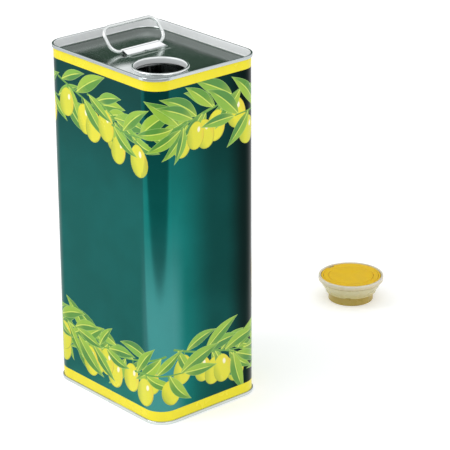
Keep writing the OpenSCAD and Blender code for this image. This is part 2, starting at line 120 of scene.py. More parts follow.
# ---- Materials ----
class Net:
    """One node tree, with short calls for the nodes that the materials use."""

    def __init__(self, tree):
        self.tree = tree

    def add(self, kind, out=0, props=(), **inputs):
        node = self.tree.nodes.new(kind)
        for key, value in dict(props).items():
            setattr(node, key, value)
        for key, value in inputs.items():
            self.put(node.inputs[int(key[1:]) if key[1:].isdigit() else key.replace("_", " ")], value)
        return node.outputs[out]

    def put(self, socket, value):
        if isinstance(value, bpy.types.NodeSocket):
            self.tree.links.new(value, socket)
        else:
            socket.default_value = value

    def math(self, op, a, b=0.0):
        return self.add("ShaderNodeMath", props={"operation": op}, i0=a, i1=b)

    def times(self, first, *others):
        """The product of all values."""
        for value in others:
            first = self.math("MULTIPLY", first, value)
        return first

    def most(self, first, *others):
        """The largest of all values."""
        for value in others:
            first = self.math("MAXIMUM", first, value)
        return first

    def rest(self, value):
        """What value leaves of 1."""
        return self.math("SUBTRACT", 1.0, value)

    def apart(self, a, b):
        """How far a is from b, without its sign."""
        return self.math("ABSOLUTE", self.math("SUBTRACT", a, b))

    def squares(self, dx, dy):
        """The sum of both squares."""
        return self.math("ADD", self.times(dx, dx), self.times(dy, dy))

    def mix(self, fac, a, b):
        node = self.tree.nodes.new("ShaderNodeMix")
        node.data_type = "RGBA"
        for index, value in ((0, fac), (6, a), (7, b)):
            self.put(node.inputs[index], value)
        return node.outputs[2]

    def step(self, value, low, high, to_low=0.0, to_high=1.0):
        """Smooth step of value from low to high."""
        node = self.tree.nodes.new("ShaderNodeMapRange")
        node.interpolation_type = "SMOOTHSTEP"
        for index, v in enumerate((value, low, high, to_low, to_high)):
            self.put(node.inputs[index], v)
        return node.outputs[0]

    def place(self, scale=(1, 1, 1)):
        """The object's own coordinates in millimetres, each stretched by scale."""
        coords = self.add("ShaderNodeTexCoord", out=3)
        return self.add("ShaderNodeMapping", Vector=coords, Scale=tuple(s / MM for s in scale))

    def noise(self, vector, scale, detail=3.0, rough=0.5):
        return self.add("ShaderNodeTexNoise", Vector=vector, Scale=scale, Detail=detail, Roughness=rough)

    def xyz(self, vector):
        node = self.tree.nodes.new("ShaderNodeSeparateXYZ")
        self.put(node.inputs[0], vector)
        return node.outputs

    def attribute(self, name):
        return self.add("ShaderNodeAttribute", out=1, props={"attribute_name": name})

    def bump(self, height, distance_mm, strength, normal=None):
        extra = {} if normal is None else {"Normal": normal}
        return self.add("ShaderNodeBump", Height=height, Distance=distance_mm * MM, Strength=strength, **extra)


def finish(name):
    """A new material: its net and its shader."""
    mat = bpy.data.materials.new(name)
    mat.use_nodes = True
    mat.node_tree.nodes.clear()
    net = Net(mat.node_tree)
    shader = mat.node_tree.nodes.new("ShaderNodeBsdfPrincipled")
    out = mat.node_tree.nodes.new("ShaderNodeOutputMaterial")
    mat.node_tree.links.new(shader.outputs[0], out.inputs[0])
    return mat, net, shader


def translucent(shader, weight, radius, depth):
    """Lets light into a moulding, radius times depth metres deep for red, green and blue."""
    shader.inputs["Subsurface Weight"].default_value = weight
    shader.inputs["Subsurface Radius"].default_value = radius
    shader.inputs["Subsurface Scale"].default_value = depth


def tinplate():
    """Bright tin coating with rolling grain, smudges and fine scratches.

    The top panel is painted darker, as a painted reflection of a dark room, and darkest at its margin, as painted
    shade at the foot of the recess's walls. The tin worked round the neck is paler and duller. The recess's inner
    walls are duller and painted paler, a painted brightness in place of their reflection, and the double seams are
    painted a little greyer, as painted shade.
    """
    mat, net, shader = finish("bright tinplate")
    here = net.place()
    x, y, z = net.xyz(here)
    grain = net.noise(net.place((0.06, 6, 0.06)), 1.0, 4)
    cloud = net.noise(here, 0.035, 3)
    spots = net.noise(here, 0.35, 4, 0.65)

    def far(cx, cy):
        return net.math("SQRT", net.squares(net.math("SUBTRACT", x, cx), net.math("SUBTRACT", y, cy)))

    def past(value, edge):
        return net.most(net.math("SUBTRACT", net.math("ABSOLUTE", value), edge), 0.0)

    axis = far(*NECK)
    on_neck = net.step(axis, 23.5, 21.5)
    bore = net.times(net.step(axis, NECK_R + 1.0, NECK_R + 0.4), net.step(z, PANEL_Z + 1.5, PANEL_Z + 2.4))
    worked = net.times(net.step(far(NECK[0] - 13.5, NECK[1] - 12), 29, 13), net.step(z, PANEL_Z + 2, PANEL_Z + 0.6))
    out = net.math("SQRT", net.squares(past(x, BODY_W / 2 - CORNER_R), past(y, BODY_D / 2 - CORNER_R)))
    inside = net.step(out, CORNER_R - 0.2, CORNER_R - 0.45)
    wall_z = net.times(net.step(z, PANEL_Z + 0.5, PANEL_Z + 1.3), net.step(z, BODY_H - 0.1, BODY_H - 0.6))
    wall = net.times(wall_z, net.rest(on_neck), inside)
    ends = net.most(net.step(z, BODY_H - 2.8, BODY_H - 2.6), net.step(z, 2.8, 2.6))
    seam = net.times(ends, net.step(out, CORNER_R - 0.45, CORNER_R - 0.2))
    panel_z = net.times(net.step(z, PANEL_Z + 1.0, PANEL_Z + 0.3), net.step(z, PANEL_Z - 3, PANEL_Z - 1))
    panel = net.times(panel_z, net.rest(on_neck), net.rest(worked), inside)
    # Painted shade: margin darkens the panel toward the foot of the recess's walls.
    across = net.step(net.math("ABSOLUTE", x), BODY_W / 2 - 24, BODY_W / 2 - 9)
    along = net.step(net.math("ABSOLUTE", y), BODY_D / 2 - 24, BODY_D / 2 - 9)
    margin = net.most(across, along)
    on_clip = net.step(net.apart(y, HANDLE_Y), CLIP_HALF + 3, CLIP_HALF + 2)
    above_foot = net.step(z, PANEL_Z + 2.2, PANEL_Z + 2.4)
    crease = net.times(net.step(net.apart(x, HANDLE_X + 1.5), 0.45, 0.1), above_foot, on_clip)
    weld_x, weld_off, weld_r = HANDLE_X + 10.9, 11, 0.9
    weld = net.math("MINIMUM", far(weld_x, HANDLE_Y - weld_off), far(weld_x, HANDLE_Y + weld_off))
    weld = net.times(net.step(net.apart(weld, weld_r), 0.35, 0.1), on_clip)
    shade = net.mix(net.step(cloud, 0.35, 0.7), rgb(243, 246, 246), rgb(232, 236, 236))
    shade = net.mix(net.step(spots, 0.55, 0.8, 0, 0.3), shade, rgb(206, 213, 211))
    # The panel's darker colour is a painted reflection of a dark room, darker still at the margin as painted shade.
    panel_painted_shade = net.mix(margin, rgb(182, 190, 186), rgb(88, 100, 93))
    shade = net.mix(panel, shade, panel_painted_shade)
    # The recess's inner walls are painted paler, a painted brightness in place of their reflection.
    shade = net.mix(wall, shade, rgb(252, 253, 254))
    # Painted shade: the double seams are painted greyer, at the foot in place of its contact shadow.
    shade = net.mix(net.times(seam, 0.8), shade, rgb(198, 206, 208))
    # The line along the clip's fold is painted shade in its crease; the same grey draws the spot welds' rings.
    shade = net.mix(net.times(net.most(crease, weld), 0.6), shade, rgb(120, 124, 128))
    net.put(shader.inputs["Base Color"], shade)
    dull = net.most(net.times(bore, 0.75), net.times(worked, 0.9), net.times(wall, 0.9))
    net.put(shader.inputs["Metallic"], net.rest(dull))
    rough = net.math("ADD", net.step(cloud, 0.3, 0.75, 0.12, 0.2), net.step(grain, 0.4, 0.7, 0, 0.05))
    net.put(shader.inputs["Roughness"], net.math("ADD", rough, net.times(dull, 0.25)))
    wave = net.bump(cloud, 0.25, 0.2)
    net.put(shader.inputs["Normal"], net.bump(grain, 0.004, 0.5, wave))
    return mat


def wire_plating():
    """Zinc-bright wire with drawing lines and small dull patches."""
    mat, net, shader = finish("plated wire")
    fine = net.noise(net.place(), 1.4, 4, 0.6)
    net.put(shader.inputs["Base Color"], net.mix(net.step(fine, 0.45, 0.75), rgb(240, 243, 242), rgb(214, 219, 218)))
    shader.inputs["Metallic"].default_value = 1.0
    net.put(shader.inputs["Roughness"], net.step(fine, 0.35, 0.7, 0.22, 0.36))
    net.put(shader.inputs["Normal"], net.bump(fine, 0.01, 0.4))
    return mat


def ink(name, base, metallic=0.0, rough=(0.2, 0.28), coat=0.0):
    """A printed and varnished surface. base(net) gives its colour."""
    mat, net, shader = finish(name)
    net.put(shader.inputs["Base Color"], base(net))
    shader.inputs["Metallic"].default_value = metallic
    haze = net.noise(net.place(), 0.05, 4)
    net.put(shader.inputs["Roughness"], net.step(haze, 0.35, 0.7, *rough))
    shader.inputs["Coat Weight"].default_value = coat
    shader.inputs["Coat Roughness"].default_value = 0.12
    wave = net.bump(net.noise(net.place((1, 1, 0.35)), 0.02, 2), 0.5, 0.3)
    peel = net.noise(net.place(), 1.2, 2)
    net.put(shader.inputs["Normal"], net.bump(peel, 0.006, 0.35, wave))
    return mat


def field_colour(net):
    """Transparent green over tin.

    A painted reflection of a dark studio deepens it toward the upper band and the narrow sides' right edges, and a
    painted highlight makes it paler low on the corner at their left.
    lap runs from 0 to half the way round, from the start of the front and again from the start of the back.
    """
    s, z, _ = net.xyz(net.attribute("art"))
    cloud = net.noise(net.place(), 0.03, 4)
    body = net.mix(net.step(cloud, 0.3, 0.75), rgb(12, 107, 101), rgb(17, 115, 110))
    lap = net.math("FLOORED_MODULO", net.math("SUBTRACT", s, STARTS[2]), ROUND / 2)
    # Painted reflection: side darkens the green toward each narrow side's right edge.
    side = net.math("ADD", net.step(lap, 122, 158, 0, 0.62), net.step(lap, 168, 187, 0, 0.32))
    side = net.times(side, net.step(lap, 205, 199))
    # clear is what the painted dark reflection leaves of the green; it also shrinks toward the upper band.
    clear = net.times(net.step(z, 150, 262, 1, 0.45), net.rest(side))
    # A painted highlight, paler low on the corner at each narrow side's left.
    corner = net.times(net.step(lap, 90, 98), net.step(lap, 132, 118))
    pale = net.times(corner, net.step(z, 170, 80, 0, 0.6))
    body = net.mix(pale, body, rgb(78, 146, 146))
    return net.mix(net.rest(clear), body, rgb(2, 14, 12))


def band_colour(net):
    cloud = net.noise(net.place(), 0.08, 3)
    return net.mix(net.step(cloud, 0.3, 0.75), rgb(243, 228, 18), rgb(239, 222, 26))


def leaf_colour(net):
    """art holds the distance from the midrib, the place along the leaf and the distance from the edge."""
    across, along, edge = net.xyz(net.attribute("art"))
    tone = net.xyz(net.attribute("tint"))[0]
    light = net.mix(tone, rgb(156, 192, 52), rgb(122, 176, 58))
    dark = net.mix(tone, rgb(92, 150, 44), rgb(70, 134, 56))
    streak = net.noise(net.place(), 0.22, 3)
    body = net.mix(net.step(net.math("ADD", across, net.times(streak, 2.4)), 0.4, 2.6), dark, light)
    body = net.mix(net.step(along, 0.4, 0.0, 0, 0.5), body, rgb(178, 200, 62))
    body = net.mix(net.step(along, 0.75, 1.0, 0, 0.4), body, rgb(176, 204, 84))
    body = net.mix(net.step(edge, 0.5, 0.15, 0, 0.6), body, rgb(168, 208, 110))
    rib = net.step(net.math("ABSOLUTE", across), 0.55, 0.25)
    return net.mix(net.times(rib, net.step(along, 0.9, 0.6)), body, rgb(206, 224, 92))


def olive_colour(net):
    """art holds the place on the olive, from -1 to 1 each way with +Y at its stalk, and the distance from its edge."""
    x, y, edge = net.xyz(net.attribute("art"))
    tone = net.xyz(net.attribute("tint"))[0]
    body = net.mix(tone, rgb(232, 224, 44), rgb(216, 216, 50))
    shade = net.step(net.math("ADD", net.times(y, 0.35), x), -0.2, -0.95, 0, 0.75)
    body = net.mix(shade, body, rgb(176, 190, 44))
    warm = net.step(net.math("ADD", net.times(y, 0.3), x), 0.45, 1.0, 0, 0.55)
    body = net.mix(warm, body, rgb(232, 196, 62))
    body = net.mix(net.step(edge, 0.6, 0.1, 0, 0.5), body, rgb(150, 158, 40))
    dx = net.math("DIVIDE", net.math("SUBTRACT", x, 0.3), 0.17)
    dy = net.math("DIVIDE", net.math("SUBTRACT", y, 0.42), 0.2)
    return net.mix(net.step(net.squares(dx, dy), 1.5, 0.2), body, rgb(255, 248, 214))


def stem_colour(net):
    across = net.math("ABSOLUTE", net.xyz(net.attribute("art"))[0])
    return net.mix(net.step(across, 0.1, 0.9), rgb(176, 204, 78), rgb(104, 160, 60))


def natural_plastic():
    """Translucent cream moulding. Its plug is olive-yellow, partly where the parts inside show through and partly as
    painted shade; the cone is painted paler toward its top as light from above, with painted shade under the lip.
    """
    mat, net, shader = finish("natural plastic")
    z = net.xyz(net.place())[2]
    # Painted light by height: the plug darker as painted shade, the cone paler upward, painted shade under the lip.
    body = net.mix(net.step(z, 7.0, 7.9), rgb(180, 156, 66), rgb(206, 194, 138))
    body = net.mix(net.step(z, 9.0, 14.5), body, rgb(214, 206, 164))
    body = net.mix(net.step(z, 15.6, 17.2), body, rgb(178, 162, 112))
    body = net.mix(net.step(z, 17.35, 17.7), body, rgb(216, 204, 172))
    body = net.mix(net.step(z, 18.5, 20.7), body, rgb(222, 216, 200))
    cloud = net.noise(net.place(), 0.12, 4)
    body = net.mix(net.step(cloud, 0.4, 0.75, 0, 0.2), body, rgb(196, 180, 124))
    net.put(shader.inputs["Base Color"], body)
    translucent(shader, 0.35, (1.0, 0.8, 0.45), 0.0015)
    net.put(shader.inputs["Roughness"], net.step(cloud, 0.3, 0.7, 0.22, 0.34))
    net.put(shader.inputs["Normal"], net.bump(net.noise(net.place(), 0.9, 3), 0.02, 0.3))
    return mat


def inner_plastic():
    """The same cream plastic for the spout and the parts inside it."""
    mat, net, shader = finish("inner plastic")
    cloud = net.noise(net.place(), 0.15, 4)
    net.put(shader.inputs["Base Color"], net.mix(net.step(cloud, 0.3, 0.75), rgb(226, 217, 186), rgb(212, 200, 158)))
    translucent(shader, 0.35, (1.0, 0.8, 0.45), 0.0015)
    net.put(shader.inputs["Roughness"], net.step(cloud, 0.3, 0.7, 0.28, 0.42))
    net.put(shader.inputs["Normal"], net.bump(net.noise(net.place(), 0.9, 3), 0.02, 0.35))
    return mat


def yellow_plastic():
    """Yellow moulding with the faint rings and flow marks of its mould."""
    mat, net, shader = finish("yellow plastic")
    cloud = net.noise(net.place(), 0.09, 4, 0.6)
    body = net.mix(net.step(cloud, 0.3, 0.7), rgb(240, 197, 30), rgb(232, 190, 34))
    speck = net.noise(net.place(), 0.6, 3)
    body = net.mix(net.step(speck, 0.58, 0.8, 0, 0.5), body, rgb(222, 172, 24))
    net.put(shader.inputs["Base Color"], body)
    translucent(shader, 0.2, (1.0, 0.7, 0.15), 0.001)
    net.put(shader.inputs["Roughness"], net.step(cloud, 0.3, 0.7, 0.38, 0.52))
    net.put(shader.inputs["Normal"], net.bump(net.noise(net.place(), 0.5, 4), 0.05, 0.4))
    return mat


def liner_foam():
    mat, net, shader = finish("liner foam")
    cells = net.add("ShaderNodeTexVoronoi", Vector=net.place(), Scale=2.2)
    net.put(shader.inputs["Base Color"], net.mix(net.step(cells, 0.1, 0.6), rgb(232, 232, 226), rgb(212, 212, 204)))
    shader.inputs["Roughness"].default_value = 0.75
    net.put(shader.inputs["Normal"], net.bump(cells, 0.06, 0.6))
    return mat


def compound():
    mat, net, shader = finish("sealing compound")
    cloud = net.noise(net.place(), 0.8, 4)
    net.put(shader.inputs["Base Color"], net.mix(cloud, rgb(70, 74, 76), rgb(98, 102, 102)))
    shader.inputs["Roughness"].default_value = 0.6
    net.put(shader.inputs["Normal"], net.bump(cloud, 0.05, 0.5))
    return mat


TIN, WIRE, CREAM, INNER, YELLOW = tinplate(), wire_plating(), natural_plastic(), inner_plastic(), yellow_plastic()
FOAM, COMPOUND = liner_foam(), compound()
FIELD = ink("green field", field_colour, metallic=1.0, rough=(0.13, 0.19), coat=0.06)
BAND = ink("yellow band", band_colour)
LEAF = ink("leaf", leaf_colour)
OLIVE = ink("olive", olive_colour)
STEM = ink("stem", stem_colour)

for node, mat in {
    "body_sheet": TIN, "top_end": TIN, "bottom_end": TIN, "top_compound": COMPOUND, "bottom_compound": COMPOUND,
    "handle_clip": TIN, "handle_bail": WIRE, "spout_tube": INNER, "tear_seal": INNER, "cap_liner": FOAM,
}.items():
    frame["nodes"][node].data.materials.clear()
    frame["nodes"][node].data.materials.append(mat)


# ---- The print, laid round the sleeve ----
def wrap(s, z):
    """Point and normal on the sleeve's outside.

    s runs round it from the middle of its -X side, to the right as seen from outside.
    """
    k = int(np.searchsorted(STARTS, s, side="right")) - 1
    k = min(max(k, 0), 8)
    t = s - STARTS[k]
    turn = -math.pi + (k + 1) // 2 * math.pi / 2
    hx, hy = RUN_W / 2, RUN_D / 2
    corners = [(-hx, -hy), (hx, -hy), (hx, hy), (-hx, hy)]
    if k % 2:
        cx, cy = corners[k // 2]
        a = math.pi + k // 2 * math.pi / 2 + t / CORNER_R
        n = (math.cos(a), math.sin(a))
        return (cx + n[0] * (CORNER_R + INK_OUT), cy + n[1] * (CORNER_R + INK_OUT), z), (n[0], n[1], 0)
    out = CORNER_R + INK_OUT
    if k == 0:
        return (-hx - out, -t, z), (-1, 0, 0)
    if k == 2:
        return (-hx + t, -hy - out, z), (0, -1, 0)
    if k == 4:
        return (hx + out, -hy + t, z), (1, 0, 0)
    if k == 6:
        return (hx - t, hy + out, z), (0, 1, 0)
    return (-hx - out, hy - t, z), (-1, 0, 0)


class Leaf:
    """A lanceolate leaf from its foot, with its length, half width, heading and bend in degrees."""

    slot, steps = 2, 12

    def __init__(self, x, z, length, half, heading, bend, tone):
        self.length, self.half, self.tone = length, half, tone
        self.rib, a = [(x, z)], heading - bend / 2
        for i in range(self.steps):
            h = math.radians(a + bend * (i + 0.5) / self.steps)
            x, z = x + math.cos(h) * length / self.steps, z + math.sin(h) * length / self.steps
            self.rib.append((x, z))
        self.rib = np.array(self.rib)
        way = np.gradient(self.rib, axis=0)
        self.side = np.stack([-way[:, 1], way[:, 0]], 1) / np.linalg.norm(way, axis=1)[:, None]
        v = np.arange(self.steps + 1) / self.steps
        self.width = half * np.sin(math.pi * v**0.82) ** 1.1
        self.width[-1] = self.width[0] = 0

    def outline(self):
        left = self.rib + self.side * self.width[:, None]
        right = self.rib - self.side * self.width[:, None]
        return np.concatenate([left, right[-2:0:-1]])

    def lines(self):
        return [self.rib]

    def art(self, points):
        """Distance from the midrib, place along it, and distance from the edge."""
        a, b = self.rib[:-1], self.rib[1:]
        d = b - a
        rel = points[:, None] - a[None]
        t = np.clip((rel * d[None]).sum(2) / (d * d).sum(1)[None], 0, 1)
        gap = rel - t[:, :, None] * d[None]
        dist = np.linalg.norm(gap, axis=2)
        k = dist.argmin(1)
        i = np.arange(len(points))
        sign = np.sign(d[k, 0] * gap[i, k, 1] - d[k, 1] * gap[i, k, 0])
        v = k + t[i, k]
        w = np.interp(v, np.arange(self.steps + 1), self.width)
        return np.stack([sign * dist[i, k], v / self.steps, w - dist[i, k]], 1)


class Olive:
    """A plump oval hanging from its top, turned by lean degrees."""

    slot, steps = 3, 26

    def __init__(self, x, z, half_w, half_h, lean, tone):
        a = math.radians(lean)
        self.up = np.array([-math.sin(a), math.cos(a)])
        self.right = np.array([math.cos(a), math.sin(a)])
        self.half_w, self.half_h, self.tone = half_w, half_h, tone
        self.mid = np.array([x, z]) - self.up * half_h * 0.97

    def outline(self):
        a = np.arange(self.steps) / self.steps * 2 * math.pi
        x, y = np.cos(a), np.sin(a)
        x = x * (1 - 0.1 * y)
        return self.mid + np.outer(x * self.half_w, self.right) + np.outer(y * self.half_h, self.up)

    def lines(self):
        return []

    def art(self, points):
        rel = points - self.mid
        x, y = rel @ self.right / self.half_w, rel @ self.up / self.half_h
        return np.stack([x, y, (1 - np.hypot(x, y)) * self.half_w], 1)


class Stem:
    """A thin stalk along a few points, narrowing to its end."""

    slot = 4

    def __init__(self, points, start_w, end_w):
        self.line = np.array(points, float)
        self.w = np.linspace(start_w, end_w, len(points)) / 2
        self.tone = 0.5

    def outline(self):
        way = np.gradient(self.line, axis=0)
        side = np.stack([-way[:, 1], way[:, 0]], 1) / np.linalg.norm(way, axis=1)[:, None]
        return np.concatenate([self.line + side * self.w[:, None], (self.line - side * self.w[:, None])[::-1]])

    def lines(self):
        return []

    def art(self, points):
        dist = np.linalg.norm(points[:, None] - self.line[None], axis=2)
        k = dist.argmin(1)
        return np.stack([dist[np.arange(len(points)), k] / self.w[k], k / len(self.line), self.w[k]], 1)


def twig(x, z, heading, length, bend, leaves, olives, flip, rng):
    """One olive twig: its stem, leaves on both sides and a leaf at its tip, and olives that hang under it."""
    n = 14
    line = [(x, z)]
    for i in range(n):
        h = heading + bend * (i + 0.5) / n
        x, z = x + math.cos(math.radians(h)) * length / n, z + math.sin(math.radians(h)) * length / n
        line.append((x, z))

    def at(t):
        i = min(int(t * n), n - 1)
        f = t * n - i
        p = [line[i][0] + (line[i + 1][0] - line[i][0]) * f, line[i][1] + (line[i + 1][1] - line[i][1]) * f]
        return p, heading + bend * t

    back, front = [], []
    for i in range(leaves):
        t = 0.06 + 0.86 * i / max(leaves - 1, 1)
        p, a = at(t)
        side = 1 if (i + flip) % 2 else -1
        size = rng.uniform(0.78, 1.28)
        leaf = Leaf(
            *p, LEAF_LENGTH * size, LEAF_HALF * size * rng.uniform(0.85, 1.05), a + side * rng.uniform(20, 48),
            -side * rng.uniform(10, 38), rng.random(),
        )
        (back if i % 3 else front).append(leaf)
    p, a = at(1.0)
    tip = Leaf(*p, LEAF_LENGTH, TIP_HALF, a + rng.uniform(-8, 8), rng.uniform(-20, 20), rng.random())
    hung = []
    for t, drop, lean in olives:
        p = at(t)[0]
        foot = (p[0] + drop * math.sin(math.radians(lean)), p[1] - drop)
        mid = (p[0] + (foot[0] - p[0]) * 0.25, p[1] - drop * 0.55)
        hung.append(Stem([p, mid, foot], 1.1, 0.8))
        size = rng.uniform(0.9, 1.08)
        hung.append(Olive(*foot, OLIVE_HALF_W * size, OLIVE_HALF_H * size, lean, rng.random()))
    return back + [Stem(line, 1.7, 0.9)] + hung + front + [tip]


def garland(base, seed):
    """Twigs all the way round, with their middle at height base.

    Each twig of the plan has its foot, heading, length, bend, number of leaves, olives and first side. Each olive has
    its place along the twig, the drop of its stalk and its lean.
    """
    rng = random.Random(seed)
    shapes = []
    plan = [
        (8, 14, -20, 66, 16, 7, [(0.3, 4, 8), (0.66, 4, -12)], 0),
        (58, 17, -22, 74, 12, 8, [(0.16, 3, -6), (0.4, 5, 10), (0.62, 3, -10), (0.86, 3, 12)], 1),
        (92, 11, -6, 36, -26, 4, [(0.55, 3, 8)], 0),
        (120, -5, -14, 46, 32, 5, [(0.22, 5, -10), (0.6, 6, 8)], 0),
        (246, 18, 203, 70, -16, 8, [(0.16, 3, 8), (0.38, 4, -10), (0.62, 4, 12), (0.86, 4, -6)], 1),
        (218, 8, 186, 34, 24, 4, [(0.5, 4, -8)], 0),
        (252, 14, -20, 66, 14, 7, [(0.26, 4, -10), (0.5, 4, 8), (0.78, 4, 12)], 0),
        (282, -4, 170, 46, 18, 5, [(0.3, 4, 8), (0.68, 4, -10)], 0),
        (300, 10, -12, 54, 18, 6, [(0.24, 5, 8), (0.56, 4, -12)], 1),
        (412, 17, 204, 70, -14, 8, [(0.16, 3, 10), (0.42, 5, -12), (0.7, 4, 6)], 0),
        (352, 3, 188, 40, -18, 5, [(0.4, 4, -6)], 1),
        (384, 12, 176, 34, 24, 4, [(0.55, 3, 8)], 1),
    ]
    for x, z, heading, length, bend, leaves, olives, flip in plan:
        shapes += twig(x, base + z, heading, length, bend, leaves, olives, flip, rng)
    return shapes


def mirror_shape(shape):
    """Mirrors a shape in s. The lower garland runs the other way round the tin than the upper one."""
    if isinstance(shape, Leaf):
        shape.rib[:, 0] = ROUND - shape.rib[:, 0]
        shape.side[:, 0] *= -1
    elif isinstance(shape, Stem):
        shape.line[:, 0] = ROUND - shape.line[:, 0]
    else:
        shape.mid[0] = ROUND - shape.mid[0]
        shape.up[0] *= -1
        shape.right = np.array([shape.up[1], -shape.up[0]])


def anticlockwise(line):
    x, z = line[:, 0], line[:, 1]
    area = (x * np.roll(z, -1) - np.roll(x, -1) * z).sum()
    return line if area > 0 else line[::-1]


def print_sheet():
    """Cuts the unrolled print into triangles along every drawn edge, and wraps it round the sleeve."""
    upper, lower = garland(UPPER_Z, UPPER_SEED), garland(LOWER_Z, LOWER_SEED)
    for shape in lower:
        mirror_shape(shape)
    shapes = upper + lower
    left, right = BARE, ROUND - BARE
    bends = [STARTS[k] + ARC * i / 18 for k in (1, 3, 5, 7) for i in range(19)]
    flats = [s for k in (2, 4, 6) for s in np.linspace(STARTS[k], STARTS[k + 1], 7)[1:-1]]
    columns = sorted({round(s, 5) for s in [left, right] + bends + flats if left <= s <= right})
    rows = [PRINT_LOW, BAND_FOOT, BAND_TOP, PRINT_HIGH]
    points, edges, faces = [], [], []

    def chain(line, closed=False):
        first = len(points)
        points.extend(Vector((float(p[0]), float(p[1]))) for p in line)
        ids = list(range(first, len(points)))
        edges.extend(zip(ids, ids[1:]))
        if closed:
            edges.append((ids[-1], ids[0]))
        return ids

    for s in columns:
        chain([(s, z) for z in rows])
    for z in rows:
        chain([(s, z) for s in columns])
    for shape in shapes:
        for line in shape.lines():
            chain(line)
    for shape in shapes:
        faces.append(chain(anticlockwise(shape.outline()), closed=True))
    verts, _, tris, _, _, owners = delaunay_2d_cdt(points, edges, faces, 0, 1e-4)
    flat = np.array([tuple(v) for v in verts])
    kept, top = [], []
    for tri, own in zip(tris, owners):
        mid = flat[list(tri)].mean(0)
        if left < mid[0] < right and PRINT_LOW < mid[1] < PRINT_HIGH:
            kept.append(tuple(tri))
            top.append(max(own) if own else -1)
    flat[:, 0] = np.clip(flat[:, 0], left, right)
    flat[:, 1] = np.clip(flat[:, 1], PRINT_LOW, PRINT_HIGH)
    used = sorted({i for t in kept for i in t})
    place = {old: new for new, old in enumerate(used)}
    wrapped = [wrap(*flat[i]) for i in used]
    obj = link_mesh("print", [w[0] for w in wrapped], [[place[i] for i in t] for t in kept])
    mesh = obj.data
    for mat in (FIELD, BAND, LEAF, OLIVE, STEM):
        mesh.materials.append(mat)
    art = np.zeros((len(kept) * 3, 3), np.float32)
    tint = np.zeros((len(kept) * 3, 3), np.float32)
    slots = np.zeros(len(kept), np.int32)
    corners = np.array(kept)
    mids = flat[corners].mean(1)
    top = np.array(top)
    in_band = (mids[:, 1] > BAND_TOP) | (mids[:, 1] < BAND_FOOT)
    top[in_band] = -1
    slots[in_band] = 1
    art[:, :2] = flat[corners.ravel()]
    for index, shape in enumerate(shapes):
        mine = np.where(top == index)[0]
        if len(mine):
            slots[mine] = shape.slot
            rows_of = (mine[:, None] * 3 + np.arange(3)).ravel()
            art[rows_of] = shape.art(flat[corners[mine].ravel()])
            tint[rows_of] = shape.tone
    mesh.polygons.foreach_set("material_index", slots)
    for name, values in (("art", art), ("tint", tint)):
        layer = mesh.attributes.new(name, "FLOAT_VECTOR", "CORNER")
        layer.data.foreach_set("vector", values.ravel())
    mesh.normals_split_custom_set_from_vertices([w[1] for w in wrapped])
    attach(obj, "tin")


print_sheet()


# ---- Turned mouldings of the closure ----
AROUND = 144
ROUNDING_STEPS = 4


def rounded(section):
    """The section's points (r, z, radius), each corner drawn as a curve."""
    out, n = [], len(section)
    for i, (r, z, rad) in enumerate(section):
        here = np.array([r, z])
        if rad <= 0:
            out.append(here)
            continue
        before = np.array(section[i - 1][:2]) - here
        after = np.array(section[(i + 1) % n][:2]) - here
        lb, la = np.linalg.norm(before), np.linalg.norm(after)
        cosine = float(np.clip(before @ after / lb / la, -0.9999, 0.9999))
        cut = min(rad / math.tan(math.acos(cosine) / 2), 0.48 * lb, 0.48 * la)
        a, b = here + before / lb * cut, here + after / la * cut
        for k in range(ROUNDING_STEPS + 1):
            t = k / ROUNDING_STEPS
            out.append((1 - t) ** 2 * a + 2 * t * (1 - t) * here + t * t * b)
    return out


def polar(a, r, z):
    """The point at the angle a and the radius r from the closure's axis."""
    return CLOSURE.x + r * math.cos(a), CLOSURE.y + r * math.sin(a), z


def turned(name, section, body, mat, replaces, warp, closed=True):
    """Turns a section round the closure's axis. A section that isn't closed starts and ends on the axis."""
    line = rounded(section)
    points, faces, count = [], [], len(line)
    poles = [0, count - 1] if not closed else []
    ids = []
    for i, (r, z) in enumerate(line):
        if i in poles:
            ids.append([len(points)] * AROUND)
            points.append((CLOSURE.x, CLOSURE.y, z))
            continue
        ring = []
        for k in range(AROUND):
            a = 2 * math.pi * k / AROUND
            ring.append(len(points))
            points.append(polar(a, *warp(a, r, z)))
        ids.append(ring)
    last = count if closed else count - 1
    for i in range(last):
        a, b = ids[i], ids[(i + 1) % count]
        for k in range(AROUND):
            m = (k + 1) % AROUND
            quad = [a[k], a[m], b[m], b[k]]
            face = [q for j, q in enumerate(quad) if q != quad[j - 1]]
            if len(face) > 2:
                faces.append(face[::-1])
    obj = link_mesh(name, points, faces)
    obj.data.set_sharp_from_angle(angle=math.radians(38))
    obj.data.materials.append(mat)
    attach(obj, body)
    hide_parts(*replaces)


def around_axis(a, centre):
    """The angle a measured from centre, from -pi to pi."""
    return (a - centre + math.pi) % (2 * math.pi) - math.pi


def drain_notch(a, r, z):
    """The notch in the shoulder's underside."""
    turn, height, half, mid_r = math.radians(-50), 0.7, 2.2, 20
    if 18.94 < r < 21.2 and 7.0 < z < 8.0:
        z += height * smooth_box(around_axis(a, turn) * mid_r, half, 1.2)
    return r, z


